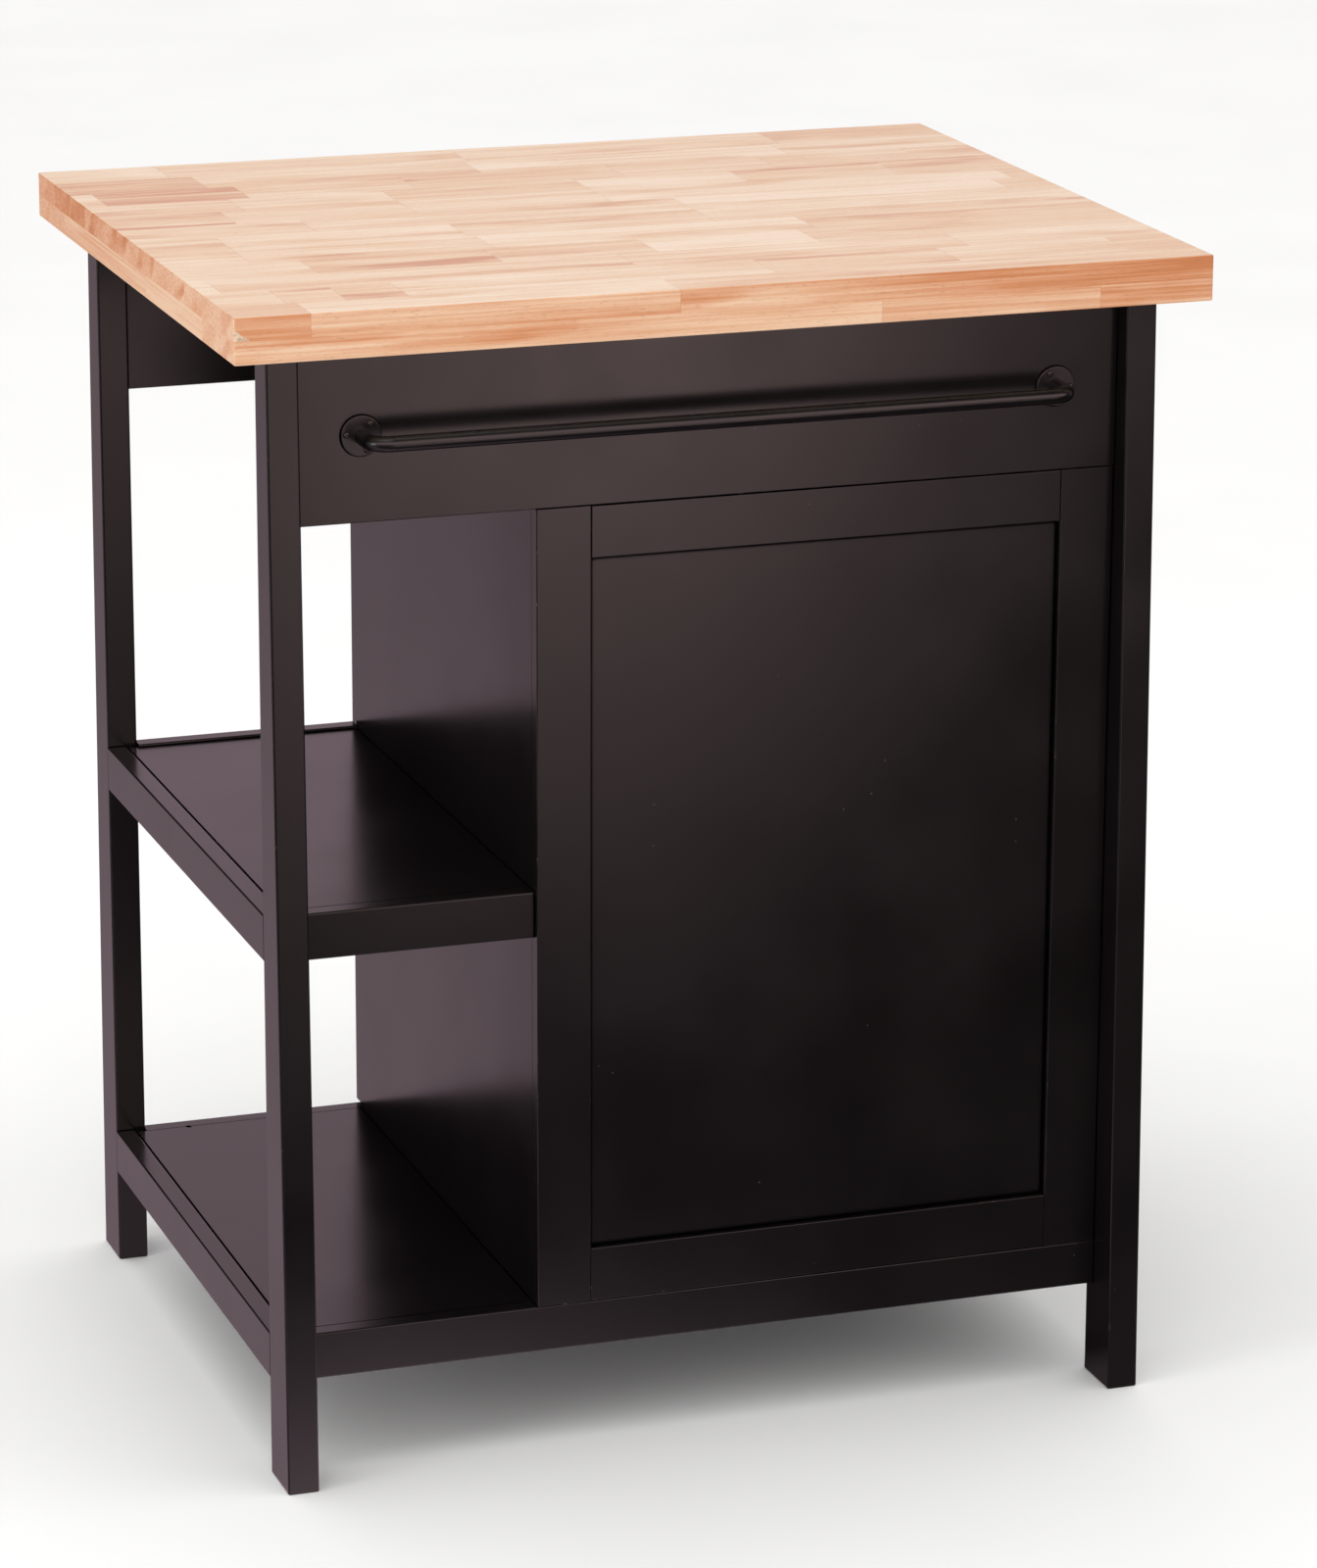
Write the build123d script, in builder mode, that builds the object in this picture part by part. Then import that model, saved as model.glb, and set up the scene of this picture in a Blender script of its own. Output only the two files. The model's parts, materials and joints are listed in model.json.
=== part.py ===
from build123d import *
from collections import namedtuple
import os

# Butcher block table: a thick wooden top on four tapered legs, an open bay with two shelves on
# the left, a cupboard with a door at the back on the right, and a towel bar on the front apron.
# Millimetres. X is the width, the towel bar faces -Y, the door faces +Y, Z is up.
# The origin is on the floor, under the middle of the top.

# ---- Overall size ----
height = 914.4
top_w = 762.0
top_d = 606.0

# ---- Top: one board with a second layer built up under its edges ----
board_t = 17.5
edge_t = 17.5
edge_w = 90.0
batten_w = 60.0
top_corner_r = 2.0
top_arris = 1.0

# ---- Legs: upright inner faces, and outer faces that slope out to the feet ----
side_overhang = 31.5
foot_setback = 14.0
leg_top_setback = 32.5
leg_w = 24.5
foot_d = 49.0
leg_arris = 1.6
foot_chamfer = 1.0

# ---- Aprons, and the frame-and-panel work below them ----
apron_h = 134.0
face_proud = 14.0
frame_t = 13.0
arris = 0.8
stile_w = 43.0
frame_top_h = 40.0
frame_bottom_h = 43.0
field_recess = 5.5
field_t = 4.0
groove_d = 8.0
field_play = 1.0
groove_play = 0.1
frame_side_play = 0.8
frame_top_play = 0.6

# ---- Shelves and the rails that carry them ----
bottom_shelf_z = 114.2
mid_shelf_z = 447.3
cupboard_shelf_z = 430.0
rail_h = 36.5
rail_t = 15.5
rail_arris = 1.5
mid_rail_setback = 6.0
mid_back_rise = 2.4
bottom_back_setback = 5.5
ledge_w = 8.0
shelf_t = 12.0
shelf_gap = 1.2
dado_d = 5.0
cupboard_shelf_back = 8.0
cupboard_shelf_gap = 1.0

# ---- Partition between the open bay and the cupboard ----
left_bay_w = 185.7
partition_t = 16.0
door_gap = 6.0

# ---- Door on the back of the cupboard ----
hinge_gap = 3.0
door_reveal = 2.0

# ---- Hinges: two small butt hinges with loose leaves and a fixed pin ----
leaf_t = 1.2
leaf_w = 12.0
hinge_h = 50.0
knuckle_r = 2.5
hinge_pin_r = 1.2
hinge_pin_head_r = 2.0
hinge_pin_head_t = 0.8
knuckle_split = 0.3
knuckle_clearance = 0.5
knuckle_leg_gap = 0.3
running_fit = 0.05
hinge_inset = 90.0
hinge_screw_r = 1.4
hinge_screw_head_r = 2.6
hinge_screw_l = 11.0
hinge_screw_pitch = 34.0

# ---- Knob and magnetic catch ----
knob_drop = 185.4
knob_r = 15.0
knob_neck_r = 6.5
knob_base_r = 9.0
knob_base_t = 3.0
knob_neck_l = 10.0
knob_head_t = 10.0
knob_shoulder_t = 3.5
knob_screw_r = 2.0
knob_screw_grip = 12.0
catch_drop = 90.4
catch_plate = (1.5, 28.0, 42.0)
catch_body = (11.0, 27.0, 20.0)
catch_gap = 0.3
catch_screw_pitch = 30.0
strike_t = 1.0
strike_size = 18.0
strike_pin_r = 2.0
strike_pin_l = 8.0

# ---- Towel bar ----
bar_r = 6.0
bar_bend_r = 14.0
bar_standoff = 34.0
bar_drop = 68.4
bar_end_inset = 51.0
flange_r = 15.5
flange_t = 2.5
flange_arris = 0.8
flange_screw_circle_r = 11.4
flange_screws = 3
left_first_screw = 53.0
right_first_screw = 117.0

# ---- Dowels and screws ----
dowel_r = 3.0
dowel_l = 28.0
dowel_shares_x = (0.2, 0.6)
dowel_shares_y = (0.4, 0.8)
small_dowel_r = 2.0
small_dowel_l = 14.0
partition_dowel_inset = 96.0
shelf_pin_r = 2.5
shelf_pin_l = 16.0
shelf_pin_pitch = 32.0
bore_fit = 0.02
screw_r = 1.4
screw_head_r = 2.7
screw_head_t = 1.8
bar_screw_l = 11.5
catch_screw_l = 11.0
knob_screw_head_r = 4.5
knob_screw_head_t = 2.2
cleat_screw_r = 2.0
cleat_screw_head_r = 4.0
cleat_screw_head_t = 2.4
cleat_screw_l = 32.0
cleat_screw_inset = 60.0
cleat_size = 20.0
cross_w = 0.7

# ---- Places worked out from the sizes above ----
under_top = height - board_t - edge_t
under_board = height - board_t
leg_out_x = top_w / 2 - side_overhang
leg_in_x = leg_out_x - leg_w
leg_in_y = top_d / 2 - foot_setback - foot_d
leg_top_y = top_d / 2 - leg_top_setback
foot_y = top_d / 2 - foot_setback
face_y = leg_in_y + face_proud
frame_in_y = face_y - frame_t
apron_z = under_top - apron_h
knob_z = apron_z - knob_drop
catch_z = apron_z - catch_drop
side_face_x = leg_out_x
side_in_x = side_face_x - frame_t
rail_in_x = leg_out_x - rail_t
bottom_back_y = face_y - bottom_back_setback
bottom_rail_in_y = face_y - rail_t
bottom_back_in_y = bottom_back_y - rail_t
mid_rail_y = face_y - mid_rail_setback
mid_rail_in_y = mid_rail_y - rail_t
partition_x = -leg_in_x + left_bay_w
partition_right_x = partition_x + partition_t
partition_back_y = frame_in_y - door_gap
door_right_x = leg_in_x - hinge_gap
hinge_x = leg_in_x - knuckle_r - knuckle_leg_gap
hinge_y = face_y + knuckle_r + knuckle_clearance
strip_in_x = top_w / 2 - edge_w
strip_in_y = top_d / 2 - edge_w

Pin = namedtuple("Pin", "centre direction radius length")


def save(piece, label):
    """Name a finished piece and write it."""
    piece.part.label = label
    export_step(piece.part, f"parts/{label}.step")


def middle(span):
    return (span[0] + span[1]) / 2


def box(x, y, z, mode=Mode.ADD):
    """A block between the limits x, y and z, in the piece being built."""
    with Locations((middle(x), middle(y), middle(z))):
        Box(x[1] - x[0], y[1] - y[0], z[1] - z[0], mode=mode)


def block_on(face, u, v, w, mode=Mode.ADD):
    """A block on a face plane: u across, v up, w the depth behind the face."""
    centre = face.from_local_coords((middle(u), middle(v), -middle(w)))
    with Locations(Plane(origin=centre, x_dir=face.x_dir, z_dir=face.z_dir)):
        Box(u[1] - u[0], v[1] - v[0], w[1] - w[0], mode=mode)


def rod(pin, extra=0.0, mode=Mode.ADD):
    """A round rod centred on a pin's place."""
    with Locations(Plane(origin=pin.centre, z_dir=pin.direction)):
        Cylinder(pin.radius + extra, pin.length, mode=mode)


def bore(piece, pins):
    """Bore the piece being built for every pin whose middle lies in or on it."""
    limits = piece.part.bounding_box()
    near = 0.01
    for pin in pins:
        point = pin.centre
        inside_x = limits.min.X - near < point[0] < limits.max.X + near
        inside_y = limits.min.Y - near < point[1] < limits.max.Y + near
        inside_z = limits.min.Z - near < point[2] < limits.max.Z + near
        if inside_x and inside_y and inside_z:
            rod(pin, bore_fit, Mode.SUBTRACT)


def ease(piece, axis, radius):
    """Round the four long arrises that run along an axis."""
    fillet(piece.edges().filter_by(axis), radius)


# ---- Where the dowels go: each is centred on the joint it crosses. The ones along X and the
# ones along Y end side by side in the legs, so they stand at different heights ----
def shared_heights(low, tall, shares):
    return [low + tall * share for share in shares]


def joint_dowels():
    pins = []
    bottom_rail_z = bottom_shelf_z - rail_h
    mid_rail_z = mid_shelf_z - rail_h
    for side_x in (-1, 1):
        for side_y in (-1, 1):
            for z in shared_heights(apron_z, apron_h, dowel_shares_x):
                place = (side_x * leg_in_x, side_y * (face_y - frame_t / 2), z)
                pins.append(Pin(place, (1, 0, 0), dowel_r, dowel_l))
            rail_y = face_y if side_y < 0 else bottom_back_y
            for z in shared_heights(bottom_rail_z, rail_h, dowel_shares_x):
                place = (side_x * leg_in_x, side_y * middle((leg_in_y, rail_y)), z)
                pins.append(Pin(place, (1, 0, 0), dowel_r, dowel_l))
            for z in shared_heights(bottom_rail_z, rail_h, dowel_shares_y):
                place = (side_x * (leg_out_x - rail_t / 2), side_y * leg_in_y, z)
                pins.append(Pin(place, (0, 1, 0), dowel_r, dowel_l))
            leg_middle_y = middle((leg_in_y, leg_top_y))
            place = (side_x * (leg_out_x - leg_w / 2), side_y * leg_middle_y, under_top)
            pins.append(Pin(place, (0, 0, 1), dowel_r, dowel_l))
    for side_y in (-1, 1):
        for z in shared_heights(mid_rail_z, rail_h, dowel_shares_y):
            place = (-leg_out_x + rail_t / 2, side_y * leg_in_y, z)
            pins.append(Pin(place, (0, 1, 0), dowel_r, dowel_l))
        for z in shared_heights(apron_z, apron_h, dowel_shares_y):
            place = (side_face_x - frame_t / 2, side_y * leg_in_y, z)
            pins.append(Pin(place, (0, 1, 0), dowel_r, dowel_l))
    return pins


def small_joint_dowels():
    pins = []
    leg_overlap_y = middle((leg_in_y, mid_rail_y))
    ledge_overlap_y = middle((mid_rail_in_y - ledge_w, partition_back_y))
    for side_y in (-1, 1):
        for z in shared_heights(mid_shelf_z - rail_h, rail_h - shelf_t, dowel_shares_x):
            place = (-leg_in_x, side_y * leg_overlap_y, z)
            pins.append(Pin(place, (1, 0, 0), small_dowel_r, small_dowel_l))
            place = (partition_x, side_y * ledge_overlap_y, z)
            pins.append(Pin(place, (1, 0, 0), small_dowel_r, small_dowel_l))
    reach_y = leg_in_y - partition_dowel_inset
    for y in (-reach_y, 0, reach_y):
        for z in (bottom_shelf_z, under_top):
            place = (middle((partition_x, partition_right_x)), y, z)
            pins.append(Pin(place, (0, 0, 1), small_dowel_r, small_dowel_l))
    return pins


dowels = joint_dowels()
small_dowels = small_joint_dowels()


# ---- Where the screws and the other pins go ----
def flange_centres():
    z = under_top - bar_drop
    return [(side * (leg_in_x - bar_end_inset), -face_y, z) for side in (-1, 1)]


def bar_screws():
    """The screws round each flange, centred on the joint of flange and apron."""
    pins = []
    for centre, first in zip(flange_centres(), (left_first_screw, right_first_screw)):
        ring = Plane(origin=centre, x_dir=(1, 0, 0), z_dir=(0, -1, 0))
        for turn in range(flange_screws):
            angle = first + turn * 360 / flange_screws
            reach = Vector(flange_screw_circle_r, 0).rotate(Axis.Z, angle)
            place = ring.from_local_coords((reach.X, reach.Y, 0))
            pins.append(Pin(tuple(place), (0, -1, 0), screw_r, 2 * (bar_screw_l - flange_t)))
    return pins


def hinge_heights():
    low = bottom_shelf_z + door_reveal + hinge_inset
    high = apron_z - door_reveal - hinge_inset
    return (low, high)


def hinge_screws(face_x, toward):
    """Two screws in each leaf on the joint at face_x; toward is the way they point."""
    y = face_y - leaf_w / 2
    pins = []
    for z in hinge_heights():
        for side in (-1, 1):
            place = (face_x, y, z + side * hinge_screw_pitch / 2)
            pins.append(Pin(place, (toward, 0, 0), hinge_screw_r, 2 * hinge_screw_l))
    return pins


def cupboard_pins(steps):
    """Shelf pins in the partition and in the side frame's stiles, at steps above the shelf."""
    pins = []
    for x in (partition_right_x, side_in_x):
        for y in (-leg_in_y + stile_w / 2, leg_in_y - stile_w / 2):
            for step in steps:
                z = cupboard_shelf_z - shelf_t - shelf_pin_r + step * shelf_pin_pitch
                pins.append(Pin((x, y, z), (1, 0, 0), shelf_pin_r, shelf_pin_l))
    return pins


def cleat_ranges():
    return ((-leg_in_x, partition_x), (partition_right_x, leg_in_x))


def cleat_screws():
    """Screws that go up through the cleats into the top's edge strips."""
    pins = []
    for side_y in (-1, 1):
        for span in cleat_ranges():
            for x in (span[0] + cleat_screw_inset, span[1] - cleat_screw_inset):
                place = (x, side_y * (frame_in_y - cleat_size / 2), under_top)
                pins.append(Pin(place, (0, 0, -1), cleat_screw_r, 2 * cleat_size))
    return pins


towel_bar_screw_pins = bar_screws()
leg_hinge_pilots = hinge_screws(leg_in_x, 1)
door_hinge_pilots = hinge_screws(door_right_x, -1)
shelf_pin_holes = cupboard_pins((-1, 0, 1))
shelf_pins = cupboard_pins((0,))
cleat_screw_pins = cleat_screws()
catch_screw_y = partition_back_y - catch_plate[1] / 2
catch_screw_z = (catch_z - catch_screw_pitch / 2, catch_z + catch_screw_pitch / 2)
catch_pin_l = 2 * (catch_screw_l - catch_plate[0])
catch_pins = [
    Pin((partition_right_x, catch_screw_y, z), (1, 0, 0), screw_r, catch_pin_l) for z in catch_screw_z
]
knob_x = partition_x + door_reveal + stile_w / 2
knob_pin = Pin((knob_x, face_y, knob_z), (0, 1, 0), knob_screw_r, 2 * frame_t)
strike_x = partition_right_x + catch_plate[0] + catch_body[0] / 2
strike_pin = Pin((strike_x, frame_in_y, catch_z), (0, 1, 0), strike_pin_r, 2 * strike_pin_l)

os.makedirs("parts", exist_ok=True)


# ---- Top ----
with BuildPart() as top_board:
    with BuildSketch(Plane.XY.offset(under_board)):
        RectangleRounded(top_w, top_d, top_corner_r)
    extrude(amount=board_t)
    fillet(top_board.faces().sort_by(Axis.Z)[-1].edges(), top_arris)
save(top_board, "top_board")

for label, side in (("top_edge_front", -1), ("top_edge_back", 1)):
    with BuildPart() as strip:
        with BuildSketch(Plane.XY.offset(under_top)):
            RectangleRounded(top_w, top_d, top_corner_r)
            with Locations((0, -side * edge_w)):
                Rectangle(top_w, top_d, mode=Mode.SUBTRACT)
        extrude(amount=edge_t)
        under = strip.faces().sort_by(Axis.Z)[0]
        outer = under.edges().filter_by(lambda edge: side * edge.center().Y > strip_in_y + top_arris)
        fillet(outer, top_arris)
        bore(strip, dowels + cleat_screw_pins)
    save(strip, label)

for label, side in (("top_edge_left", -1), ("top_edge_right", 1)):
    with BuildPart() as strip:
        span_x = sorted((side * strip_in_x, side * top_w / 2))
        box(span_x, (-strip_in_y, strip_in_y), (under_top, under_board))
        under = strip.faces().sort_by(Axis.Z)[0]
        fillet(under.edges().sort_by(lambda edge: side * edge.center().X)[-1], top_arris)
    save(strip, label)

with BuildPart() as top_batten:
    batten_x = middle((partition_x, partition_right_x))
    span_x = (batten_x - batten_w / 2, batten_x + batten_w / 2)
    box(span_x, (-strip_in_y, strip_in_y), (under_top, under_board))
    bore(top_batten, small_dowels)
save(top_batten, "top_batten")


# ---- Legs ----
def make_leg(side_x, side_y, label):
    with BuildPart() as leg:
        with BuildSketch(Plane.YZ.offset(min(side_x * leg_in_x, side_x * leg_out_x))):
            with BuildLine():
                Polyline(
                    (side_y * leg_in_y, 0),
                    (side_y * foot_y, 0),
                    (side_y * leg_top_y, under_top),
                    (side_y * leg_in_y, under_top),
                    close=True,
                )
            make_face()
        extrude(amount=leg_w)
        upright = leg.edges().filter_by(lambda edge: edge.length > under_top / 2)
        fillet(upright, leg_arris)
        chamfer(leg.faces().sort_by(Axis.Z)[0].edges(), foot_chamfer)
        bore(leg, dowels + small_dowels)
        if side_x > 0 and side_y > 0:
            bore(leg, leg_hinge_pilots)
    save(leg, label)


make_leg(-1, -1, "leg_front_left")
make_leg(1, -1, "leg_front_right")
make_leg(-1, 1, "leg_back_left")
make_leg(1, 1, "leg_back_right")


# ---- Aprons and the cleats that hold the top down on them ----
for label, side in (("apron_front", -1), ("apron_back", 1)):
    with BuildPart() as apron:
        box((-leg_in_x, leg_in_x), sorted((side * frame_in_y, side * face_y)), (apron_z, under_top))
        ease(apron, Axis.X, arris)
        bore(apron, dowels + towel_bar_screw_pins)
    save(apron, label)

with BuildPart() as apron:
    box((side_in_x, side_face_x), (-leg_in_y, leg_in_y), (apron_z, under_top))
    ease(apron, Axis.Y, arris)
    bore(apron, dowels)
save(apron, "apron_right")

for label, side in (("cleats_front", -1), ("cleats_back", 1)):
    with BuildPart() as cleats:
        for span_x in cleat_ranges():
            span_y = sorted((side * frame_in_y, side * (frame_in_y - cleat_size)))
            box(span_x, span_y, (under_top - cleat_size, under_top))
        bore(cleats, cleat_screw_pins)
    save(cleats, label)


# ---- Rails with a rebate: the shelf board lies on the ledge ----
def make_rail(label, x, y, board_z, ledge, axis, rise=0.0):
    """A rail between the limits x and y, with a ledge under a board whose top is at board_z."""
    with BuildPart() as rail:
        box(x, y, (board_z - rail_h, board_z + rise))
        ease(rail, axis, rail_arris)
        box(ledge[0], ledge[1], (board_z - rail_h, board_z - shelf_t))
        bore(rail, dowels + small_dowels)
    save(rail, label)


for label, side, outer_y in (("bottom_rail_front", -1, face_y), ("bottom_rail_back", 1, bottom_back_y)):
    span_x = (-leg_in_x, leg_in_x)
    span_y = sorted((side * (outer_y - rail_t), side * outer_y))
    ledge_y = sorted((side * (outer_y - rail_t - ledge_w), side * (outer_y - rail_t / 2)))
    make_rail(label, span_x, span_y, bottom_shelf_z, (span_x, ledge_y), Axis.X)
for label, side in (("bottom_rail_left", -1), ("bottom_rail_right", 1)):
    span_x = sorted((side * rail_in_x, side * leg_out_x))
    span_y = (-leg_in_y, leg_in_y)
    ledge_x = sorted((side * (rail_in_x - ledge_w), side * (leg_out_x - rail_t / 2)))
    ledge_y = (-(bottom_rail_in_y - ledge_w), bottom_back_in_y - ledge_w)
    make_rail(label, span_x, span_y, bottom_shelf_z, (ledge_x, ledge_y), Axis.Y)
for label, side, rise in (("mid_rail_front", -1, 0.0), ("mid_rail_back", 1, mid_back_rise)):
    span_x = (-leg_in_x, partition_x)
    span_y = sorted((side * mid_rail_in_y, side * mid_rail_y))
    ledge_y = sorted((side * (mid_rail_in_y - ledge_w), side * (mid_rail_y - rail_t / 2)))
    make_rail(label, span_x, span_y, mid_shelf_z, (span_x, ledge_y), Axis.X, rise)
span_x = (-leg_out_x, -rail_in_x)
span_y = (-leg_in_y, leg_in_y)
ledge_x = (-(leg_out_x - rail_t / 2), -(rail_in_x - ledge_w))
ledge_y = (-(mid_rail_in_y - ledge_w), mid_rail_in_y - ledge_w)
make_rail("mid_rail_left", span_x, span_y, mid_shelf_z, (ledge_x, ledge_y), Axis.Y)


# ---- Shelf boards and the partition ----
shelf_left_x = -rail_in_x + shelf_gap
with BuildPart() as bottom_shelf:
    span_y = (-bottom_rail_in_y, bottom_back_in_y)
    box((shelf_left_x, -shelf_left_x), span_y, (bottom_shelf_z - shelf_t, bottom_shelf_z))
    bore(bottom_shelf, small_dowels)
save(bottom_shelf, "bottom_shelf")

mid_span_y = (-mid_rail_in_y, mid_rail_in_y)
mid_span_z = (mid_shelf_z - shelf_t, mid_shelf_z)
with BuildPart() as mid_shelf:
    box((shelf_left_x, partition_x + dado_d), mid_span_y, mid_span_z)
save(mid_shelf, "mid_shelf")

with BuildPart() as partition:
    box((partition_x, partition_right_x), (-frame_in_y, partition_back_y), (bottom_shelf_z, under_top))
    box((partition_x, partition_x + dado_d), mid_span_y, mid_span_z, Mode.SUBTRACT)
    bore(partition, small_dowels + shelf_pin_holes + catch_pins)
save(partition, "partition")

with BuildPart() as cupboard_shelf:
    span_x = (partition_right_x + cupboard_shelf_gap, side_in_x - cupboard_shelf_gap)
    span_y = (-leg_in_y + cupboard_shelf_gap, partition_back_y - cupboard_shelf_back)
    box(span_x, span_y, (cupboard_shelf_z - shelf_t, cupboard_shelf_z))
    ease(cupboard_shelf, Axis.X, arris)
save(cupboard_shelf, "cupboard_shelf")

with BuildPart() as pins:
    for pin in shelf_pins:
        rod(pin)
save(pins, "shelf_pins")


# ---- Frame-and-panel work: grooved stiles, tenoned rails and a thin loose field ----
def frame_and_panel(face, width, tall, labels, pins):
    """Five pieces behind a face plane whose origin is the frame's lower left corner."""
    left, right, bottom, top, field = labels
    outward = Axis((0, 0, 0), tuple(face.z_dir))
    inner_u = (stile_w, width - stile_w)
    groove_w = (field_recess, field_recess + field_t + groove_play)
    tenon_w = (field_recess, field_recess + field_t)
    tongue = groove_d - field_play
    stiles = (
        (left, (0, stile_w), (stile_w - groove_d, stile_w)),
        (right, (width - stile_w, width), (width - stile_w, width - stile_w + groove_d)),
    )
    for label, u, groove_u in stiles:
        with BuildPart() as stile:
            block_on(face, u, (0, tall), (0, frame_t))
            ease(stile, Axis.Z, arris)
            block_on(face, groove_u, (0, tall), groove_w, Mode.SUBTRACT)
            bore(stile, pins)
        save(stile, label)
    top_v = tall - frame_top_h
    low_groove_v = frame_bottom_h - groove_d
    high_groove_v = top_v + groove_d
    rails = (
        (bottom, (0, frame_bottom_h), (low_groove_v, frame_bottom_h), (0, low_groove_v)),
        (top, (top_v, tall), (top_v, high_groove_v), (high_groove_v, tall)),
    )
    for label, v, groove_v, tenon_v in rails:
        with BuildPart() as rail:
            block_on(face, inner_u, v, (0, frame_t))
            fillet(rail.edges().filter_by(outward, reverse=True), arris)
            block_on(face, inner_u, groove_v, groove_w, Mode.SUBTRACT)
            block_on(face, (stile_w - tongue, stile_w + groove_d), tenon_v, tenon_w)
            block_on(face, (width - stile_w - groove_d, width - stile_w + tongue), tenon_v, tenon_w)
            bore(rail, pins)
        save(rail, label)
    with BuildPart() as panel:
        field_u = (stile_w - tongue, width - stile_w + tongue)
        field_v = (frame_bottom_h - tongue, top_v + tongue)
        block_on(face, field_u, field_v, tenon_w)
    save(panel, field)


def frame_labels(prefix, left, right):
    return [f"{prefix}_{name}" for name in (left, right, "rail_bottom", "rail_top", "field")]


opening_h = apron_z - bottom_shelf_z
frame_h = opening_h - frame_top_play
front_face = Plane(origin=(partition_x, -face_y, bottom_shelf_z), x_dir=(1, 0, 0), z_dir=(0, -1, 0))
front_w = leg_in_x - frame_side_play - partition_x
frame_and_panel(front_face, front_w, frame_h, frame_labels("front", "stile_left", "stile_right"), [])

side_face = Plane(origin=(side_face_x, -leg_in_y, bottom_shelf_z), x_dir=(0, 1, 0), z_dir=(1, 0, 0))
side_labels = frame_labels("side", "stile_front", "stile_back")
frame_and_panel(side_face, 2 * leg_in_y, frame_h, side_labels, shelf_pin_holes)

door_origin = (door_right_x, face_y, bottom_shelf_z + door_reveal)
door_face = Plane(origin=door_origin, x_dir=(-1, 0, 0), z_dir=(0, 1, 0))
door_w = door_right_x - partition_x - door_reveal
door_h = opening_h - 2 * door_reveal
door_labels = frame_labels("door", "stile_hinge", "stile_latch")
frame_and_panel(door_face, door_w, door_h, door_labels, door_hinge_pilots + [knob_pin, strike_pin])


# ---- Screws ----
def pan_head_screw(shank_r, shank_l, head_r, head_t):
    """A domed screw with a cross recess, its head standing on the XY plane."""
    with BuildPart() as screw:
        with BuildSketch(Plane.XZ):
            with BuildLine():
                Polyline(
                    (0, head_t),
                    (0, -shank_l),
                    (shank_r, -shank_l + shank_r),
                    (shank_r, 0),
                    (head_r, 0),
                )
                Spline((head_r, 0), (0, head_t), tangents=((0, 1), (-1, 0)))
            make_face()
        revolve(axis=Axis.Z)
        with Locations((0, 0, head_t)):
            Box(head_r, cross_w, head_t, mode=Mode.SUBTRACT)
            Box(cross_w, head_r, head_t, mode=Mode.SUBTRACT)
    return screw.part


def flat_head_screw(shank_r, shank_l, head_r):
    """A countersunk screw with a cross recess, its head flush with the XY plane."""
    with BuildPart() as screw:
        with BuildSketch(Plane.XZ):
            with BuildLine():
                Polyline(
                    (0, 0),
                    (0, -shank_l),
                    (shank_r, -shank_l + shank_r),
                    (shank_r, shank_r - head_r),
                    (head_r, 0),
                    close=True,
                )
            make_face()
        revolve(axis=Axis.Z)
        Box(head_r, cross_w, head_r, mode=Mode.SUBTRACT)
        Box(cross_w, head_r, head_r, mode=Mode.SUBTRACT)
    return screw.part


def save_screws(label, screw, seats):
    """One screw at each seat plane, whose normal points out of the head."""
    with BuildPart() as group:
        with Locations(*seats):
            add(screw)
    save(group, label)


def seat(pin, outward, rise):
    """The plane under a screw's head, a rise above the joint that its pin is centred on."""
    return Plane(origin=Vector(pin.centre) + Vector(outward) * rise, z_dir=outward)


# ---- Hinges ----
knuckle_h = (hinge_h - 2 * knuckle_split) / 3
outer_knuckle = (hinge_h - knuckle_h) / 2
leaf_y = (face_y - leaf_w, face_y)


def make_leaves(label, leaf_x, ear_y, knuckle_offsets, hole_r, screw_pins, outward):
    """A leaf at each hinge height, with its knuckles on the hinge line."""
    with BuildPart() as leaves:
        for z in hinge_heights():
            box(leaf_x, leaf_y, (z - hinge_h / 2, z + hinge_h / 2))
            for offset in knuckle_offsets:
                middle_z = z + offset
                with Locations((hinge_x, hinge_y, middle_z)):
                    Cylinder(knuckle_r, knuckle_h)
                box(leaf_x, ear_y, (middle_z - knuckle_h / 2, middle_z + knuckle_h / 2))
                with Locations((hinge_x, hinge_y, middle_z)):
                    Cylinder(hole_r, knuckle_h, mode=Mode.SUBTRACT)
        for pin in screw_pins:
            with Locations(seat(pin, outward, leaf_t)):
                CounterSinkHole(hinge_screw_r + bore_fit, hinge_screw_head_r + bore_fit, leaf_t, 90)
    save(leaves, label)


leg_leaf_x = (leg_in_x - leaf_t, leg_in_x)
door_leaf_x = (door_right_x, door_right_x + leaf_t)
leg_ear_y = (leaf_y[0], hinge_y - knuckle_clearance)
door_ear_y = (leaf_y[0], hinge_y - hinge_pin_r - knuckle_clearance)
outer_offsets = (-outer_knuckle, outer_knuckle)
leg_hole_r = hinge_pin_r + bore_fit
door_hole_r = hinge_pin_r + running_fit
to_left = (-1, 0, 0)
to_right = (1, 0, 0)
make_leaves("hinge_leaves_leg", leg_leaf_x, leg_ear_y, outer_offsets, leg_hole_r, leg_hinge_pilots, to_left)
make_leaves("hinge_leaves_door", door_leaf_x, door_ear_y, (0,), door_hole_r, door_hinge_pilots, to_right)

with BuildPart() as hinge_pins:
    for z in hinge_heights():
        with Locations((hinge_x, hinge_y, z)):
            Cylinder(hinge_pin_r, hinge_h)
        for side in (-1, 1):
            with Locations((hinge_x, hinge_y, z + side * (hinge_h + hinge_pin_head_t) / 2)):
                Cylinder(hinge_pin_head_r, hinge_pin_head_t)
save(hinge_pins, "hinge_pins")

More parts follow.
